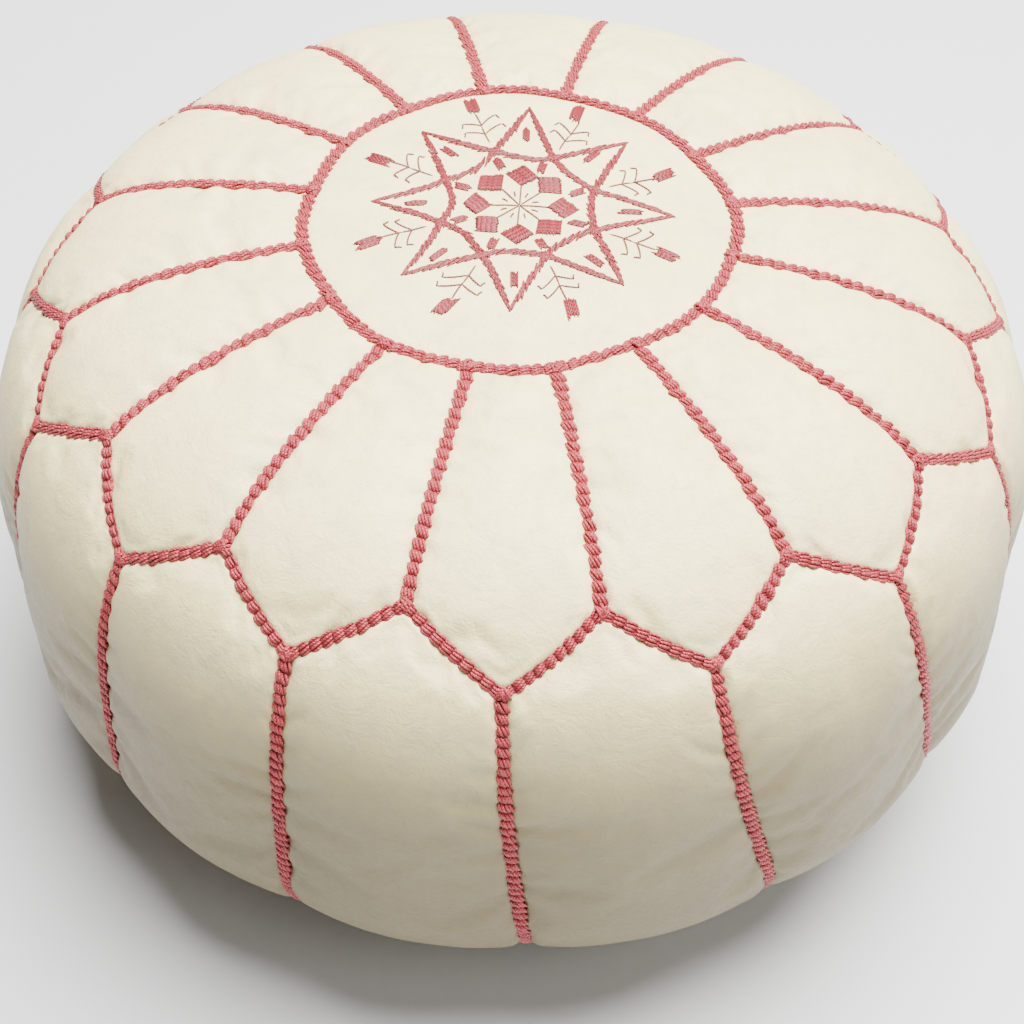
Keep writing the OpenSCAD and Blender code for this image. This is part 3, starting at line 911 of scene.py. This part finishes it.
def base_points(x, y):
    """Outer points of the base: flat on the floor, tucked in at its seam, raised round the zip."""
    r = np.hypot(x, y)
    floor = np.where(r > BASE_R, np.interp(-r, -ARC_R[WAIST:], ARC_Z[WAIST:]), 0.0)
    edge = BASE_SEAM_R - r
    tuck = 0.0014 * np.exp(-((edge / 0.003) ** 2))
    wrinkle = noise(np.stack([x.ravel(), y.ravel(), 0 * x.ravel()], axis=1), 0.03, 501).reshape(x.shape)
    soft = 0.0005 * (wrinkle + 1) * smooth(edge / 0.01)
    return np.stack([x, y, np.maximum(floor, recess_height(x, y)) + tuck + soft + 0.0001], axis=-1)


def add_base():
    """Two half discs, each from an inner edge out to the seam. The inner edge follows the middle line,
    then half of the zip's opening and the middle line again, and way is the length along it."""
    across = (crowded(62)[:, None] + 1) / 2
    for name, side in (("left", 1), ("right", -1)):
        t = np.linspace(0, 1, 260)[None, :]
        a = t * math.pi
        outer = np.stack([BASE_SEAM_R * np.cos(a), BASE_SEAM_R * np.sin(a)], axis=-1)
        bend = math.pi / 2 * RIM_IN
        total = 2 * RECESS_HALF + 2 * bend + 2 * (BASE_SEAM_R - RECESS_HALF - RIM_IN)
        way = t * total
        lead = BASE_SEAM_R - RECESS_HALF - RIM_IN
        turn = np.clip((way - lead) / bend, 0, 1) * math.pi / 2
        back = np.clip((way - lead - bend - 2 * RECESS_HALF) / bend, 0, 1) * math.pi / 2
        x = (BASE_SEAM_R - np.clip(way, 0, lead) - RIM_IN * (1 - np.cos(turn))
             - np.clip(way - lead - bend, 0, 2 * RECESS_HALF) - RIM_IN * np.sin(back)
             - np.clip(way - total + lead, 0, lead))
        y = RIM_IN * (np.sin(turn) - (1 - np.cos(back)))
        inner = np.stack([x, np.clip(y, 0.0002, None)], axis=-1)
        plan = inner + (outer - inner) * across[..., None]
        points = base_points(plan[..., 0], plan[..., 1] * side)
        ob = leather_shell(f"base_{name}", points, flip=side > 0)
        dress(ob, f"base_half_{name}")


def finish_zip():
    for name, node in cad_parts.items():
        if not name.startswith("zip_"):
            continue
        node.data.materials.clear()
        node.data.materials.append(TAPE if "tape" in name else BRASS)
        if "tape" not in name:
            bevel = node.modifiers.new("worn_edges", "BEVEL")
            bevel.width = 0.00035
            bevel.segments = 3
            bevel.limit_method = "ANGLE"


# ---- inside ----
LINING_DEPTH = 0.0052   # under the cover's surface
LINING_T = 0.0006


def stadium(way, half, width):
    """Points round a stadium on the zip's line; way runs from 0 to 1, from its +X tip."""
    quarter = math.pi / 2 * width
    total = 4 * (half + quarter)
    d = np.mod(way, 1) * total
    right = np.where(d < total / 2, np.minimum(d, quarter), np.maximum(d, total - quarter) - total) / width
    left = np.clip(d - quarter - 2 * half, 0, 2 * quarter) / width + math.pi / 2
    at_left = (d > quarter + 2 * half) & (d < 3 * quarter + 2 * half)
    x = np.where(at_left, -half + width * np.cos(left), half + width * np.cos(right))
    y = np.where(at_left, width * np.sin(left), width * np.sin(right))
    over = (d >= quarter) & (d <= quarter + 2 * half)
    under = (d >= 3 * quarter + 2 * half) & (d <= total - quarter)
    x = np.where(over, half - (d - quarter), np.where(under, d - 3 * quarter - 3 * half, x))
    y = np.where(over, width, np.where(under, -width, y))
    return np.stack([x, y], axis=-1)


def inner_skin(depth, lumps, seed, mouth):
    """A (rows, cols, 3) skin inside the cover at some depth, from the crown down to the zip."""
    cols = 192
    theta = np.linspace(0, 2 * math.pi, cols, endpoint=False)[None, :]
    s = np.concatenate([np.linspace(0.004, S_BASE, 90), [S_BASE + 0.006]])[:, None]
    theta, s = np.broadcast_arrays(theta, s)
    bumps = noise(on_cover(theta, s).reshape(-1, 3), 0.035, seed).reshape(s.shape)
    wall = on_cover(theta, s, -depth - lumps * (1 + bumps))
    edge = wall[-1, :, :2]
    turn = np.unwrap(np.arctan2(edge[:, 1], edge[:, 0])) / (2 * math.pi)
    slot = stadium(turn, RECESS_HALF, mouth)
    share = np.linspace(0, 1, 26)[1:, None, None]
    plan = edge[None] * (1 - share) + slot[None] * share
    place = np.concatenate([plan.reshape(-1, 2), np.zeros((plan[..., 0].size, 1))], axis=1)
    lumpy = noise(place, 0.04, seed + 1).reshape(plan.shape[:2])
    z = recess_height(plan[..., 0], plan[..., 1]) + depth + lumps * (1 + lumpy)
    wall[..., 2] = np.maximum(wall[..., 2], depth + lumps)
    return np.concatenate([wall, np.concatenate([plan, z[..., None]], axis=-1)])


def add_lining():
    outer = inner_skin(LINING_DEPTH, 0.0, 601, RIM_OUT + 0.004)
    inner = inner_skin(LINING_DEPTH + LINING_T, 0.0, 601, RIM_OUT + 0.0046)
    rows, cols, _ = outer.shape
    n = rows * cols
    verts = np.concatenate([outer.reshape(-1, 3), inner.reshape(-1, 3),
                            [outer[0].mean(axis=0), inner[0].mean(axis=0)]])
    j = np.arange(cols)
    k = (j + 1) % cols
    last = (rows - 1) * cols
    skin = grid_faces(rows, cols, loop=True)
    rim = np.stack([last + j, last + n + j, last + n + k, last + k], axis=1)
    quads = np.concatenate([skin, skin[:, ::-1] + n, rim])
    caps = np.concatenate([np.stack([k, j, np.full(cols, 2 * n)], axis=1),
                           np.stack([n + j, n + k, np.full(cols, 2 * n + 1)], axis=1)])
    ob = make_mesh("cotton_lining", verts, quads[:, ::-1], COTTON, caps=caps[:, ::-1])
    dress(ob, "lining")


def add_stuffing():
    """A lumpy solid inside the lining, with a low roof over the zip."""
    grid = inner_skin(LINING_DEPTH + 2 * LINING_T, 0.0014, 901, RIM_OUT + 0.006)
    rows, cols, _ = grid.shape
    roof = grid[-1] * np.array([1, 0.5, 1]) + np.array([0, 0, 0.008])
    ends = [grid[0].mean(axis=0), [0, 0, roof[:, 2].max() + 0.001]]
    verts = np.concatenate([grid.reshape(-1, 3), roof, ends])
    j = np.arange(cols)
    k = (j + 1) % cols
    last = rows * cols
    caps = np.concatenate([np.stack([k, j, np.full(cols, last + cols)], axis=1),
                           np.stack([last + j, last + k, np.full(cols, last + cols + 1)], axis=1)])
    quads = grid_faces(rows + 1, cols, loop=True)[:, ::-1]
    ob = make_mesh("stuffing", verts, quads, COTTON, caps=caps[:, ::-1])
    dress(ob, "filling")


# ---- camera, light and floor ----


def add_camera():
    """The view from above the front edge, a little rolled."""
    distance, high, turn, roll = 1.0457, math.radians(48.15), math.radians(0.58), math.radians(1.2)
    target = Vector((0, 0, 0.114))
    flat = Vector((math.sin(turn), -math.cos(turn), 0))
    at = target + flat * distance * math.cos(high) + Vector((0, 0, distance * math.sin(high)))
    look = (target - at).normalized()
    right = look.cross(Vector((0, 0, 1))).normalized()
    up = right.cross(look)
    right, up = (right * math.cos(roll) + up * math.sin(roll), up * math.cos(roll) - right * math.sin(roll))
    cam = bpy.data.cameras.new("camera")
    cam.sensor_width = 36
    cam.lens = 65.74
    ob = bpy.data.objects.new("camera", cam)
    ob.matrix_world = Matrix((
        (right.x, up.x, -look.x, at.x), (right.y, up.y, -look.y, at.y),
        (right.z, up.z, -look.z, at.z), (0, 0, 0, 1)))
    bpy.context.scene.collection.objects.link(ob)
    bpy.context.scene.camera = ob


def add_light(name, at, size, power):
    data = bpy.data.lights.new(name, "AREA")
    data.shape = "DISK"
    data.size = size
    data.energy = power
    ob = bpy.data.objects.new(name, data)
    ob.location = at
    ob.rotation_euler = (Vector((0, 0, 0.15)) - Vector(at)).to_track_quat("-Z", "Y").to_euler()
    bpy.context.scene.collection.objects.link(ob)


def add_stage():
    m = Shader("pale_floor", Roughness=0.9)
    m.link(m.mix(m.noise(m.place(), 0.002, 2), (0.58, 0.58, 0.58, 1), (0.60, 0.60, 0.60, 1)),
           m.bsdf.inputs["Base Color"])
    size = 6.0
    corners = np.array([[-size, -size, 0], [size, -size, 0], [size, size, 0], [-size, size, 0]], dtype=float)
    make_mesh("floor", corners, np.array([[0, 1, 2, 3]]), m.mat)
    world = bpy.data.worlds.new("studio")
    world.use_nodes = True
    world.node_tree.nodes["Background"].inputs[0].default_value = (1, 1, 1, 1)
    world.node_tree.nodes["Background"].inputs[1].default_value = 0.18
    bpy.context.scene.world = world
    add_light("key", (0.35, 0.22, 2.15), 1.8, 310)
    add_light("front", (1.1, -1.3, 1.9), 1.2, 18)


rng = np.random.default_rng(7)
add_camera()
add_panels(rng)
add_medallion()
add_seams(rng)
add_embroidery(rng)
add_base()
finish_zip()
add_lining()
add_stuffing()
add_stage()
